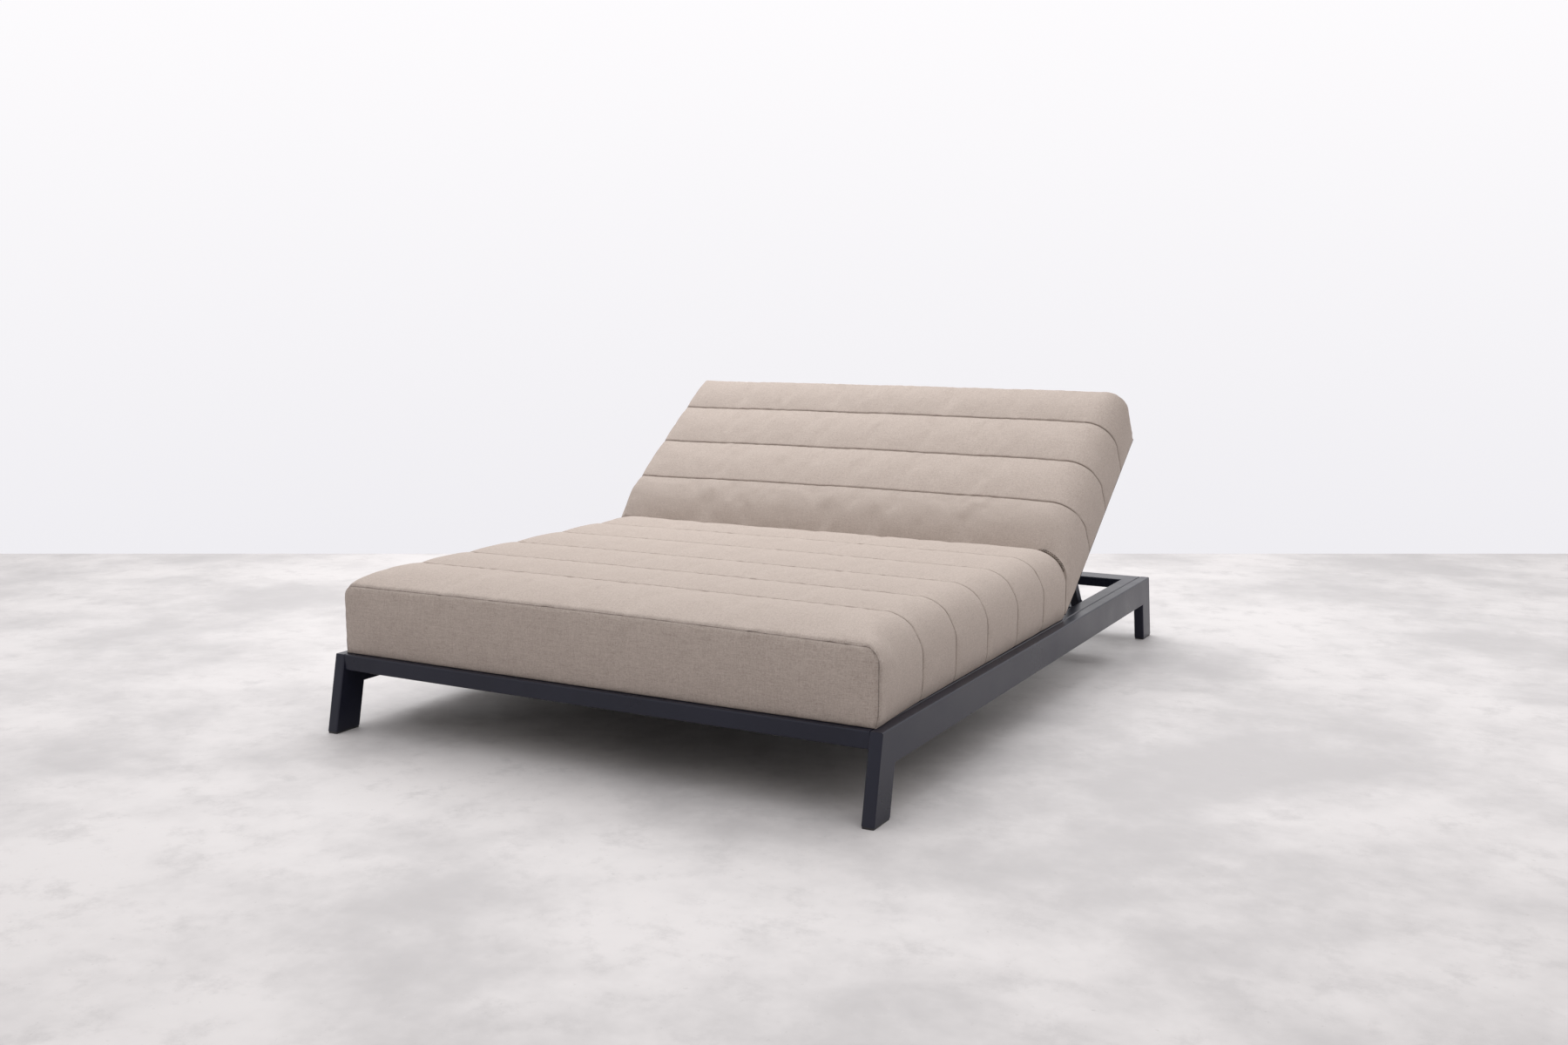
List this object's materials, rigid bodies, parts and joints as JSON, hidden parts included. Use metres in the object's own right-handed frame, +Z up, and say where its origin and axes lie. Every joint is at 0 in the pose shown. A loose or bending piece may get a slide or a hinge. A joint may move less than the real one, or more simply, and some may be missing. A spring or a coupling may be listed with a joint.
{
  "type": "double chaise lounger",
  "caption": "Low outdoor double lounger: tube frame on slanted legs, channelled seat cushion, hinged full width back on prop arms in notched plates.",
  "frame": {"origin": "on the floor, midway between the four feet", "axes": "+X across the bed to its right side, +Y from the foot end to the head end, +Z up"},
  "size_m": [1.5, 2.098, 0.796],
  "materials": {
    "powder_coat": "fine matt anthracite powder coat",
    "black_plastic": "moulded black nylon",
    "black_rubber": "black rubber",
    "stainless_steel": "plain stainless steel",
    "woven_fabric": "taupe outdoor weave with fine lighter and darker yarns",
    "underside_mesh": "dark open mesh lining"
  },
  "bodies": {
    "base_frame": {"side_rail_right": "powder_coat", "side_rail_left": "powder_coat", "leg_front_right": "powder_coat", "leg_front_left": "powder_coat", "leg_rear_right": "powder_coat", "leg_rear_left": "powder_coat", "foot_glides": "black_plastic", "ledge_right": "powder_coat", "ledge_left": "powder_coat", "front_rail": "powder_coat", "rear_rail": "powder_coat", "pivot_beam": "powder_coat", "rear_beam": "powder_coat", "seat_spine": "powder_coat", "seat_slats": "powder_coat", "hinge_brackets": "powder_coat", "hinge_pins": "stainless_steel", "hinge_nuts": "stainless_steel", "notch_plate_right": "powder_coat", "notch_plate_left": "powder_coat", "back_buffers": "black_rubber", "seat_cushion_base": "underside_mesh", "seat_cushion": "woven_fabric"},
    "backrest": {"back_side_tube_right": "powder_coat", "back_side_tube_left": "powder_coat", "back_lower_tube": "powder_coat", "back_upper_tube": "powder_coat", "back_slats": "powder_coat", "hinge_lugs": "powder_coat", "hinge_bushes": "black_plastic", "prop_bar_bushes": "black_plastic", "back_tube_plugs": "black_plastic", "back_cushion_base": "underside_mesh", "back_cushion": "woven_fabric"},
    "prop": {"prop_arm_right": "powder_coat", "prop_arm_left": "powder_coat", "prop_bar": "powder_coat", "prop_foot_pins": "stainless_steel"}
  },
  "joints": [
    {"name": "back_recline", "type": "hinge", "parent": "base_frame", "child": "backrest", "pos_m": [0, 0.243, 0.18], "axis": [1, 0, 0], "range_deg": [-35.1, 0]},
    {"name": "prop_swing", "type": "hinge", "parent": "backrest", "child": "prop", "pos_m": [0, 0.4563, 0.32991], "axis": [1, 0, 0], "range_deg": [0, 90.1]}
  ],
  "couplings": [
    {"joint": "prop_swing", "follows": "back_recline", "ratio": -2.5641}
  ]
}
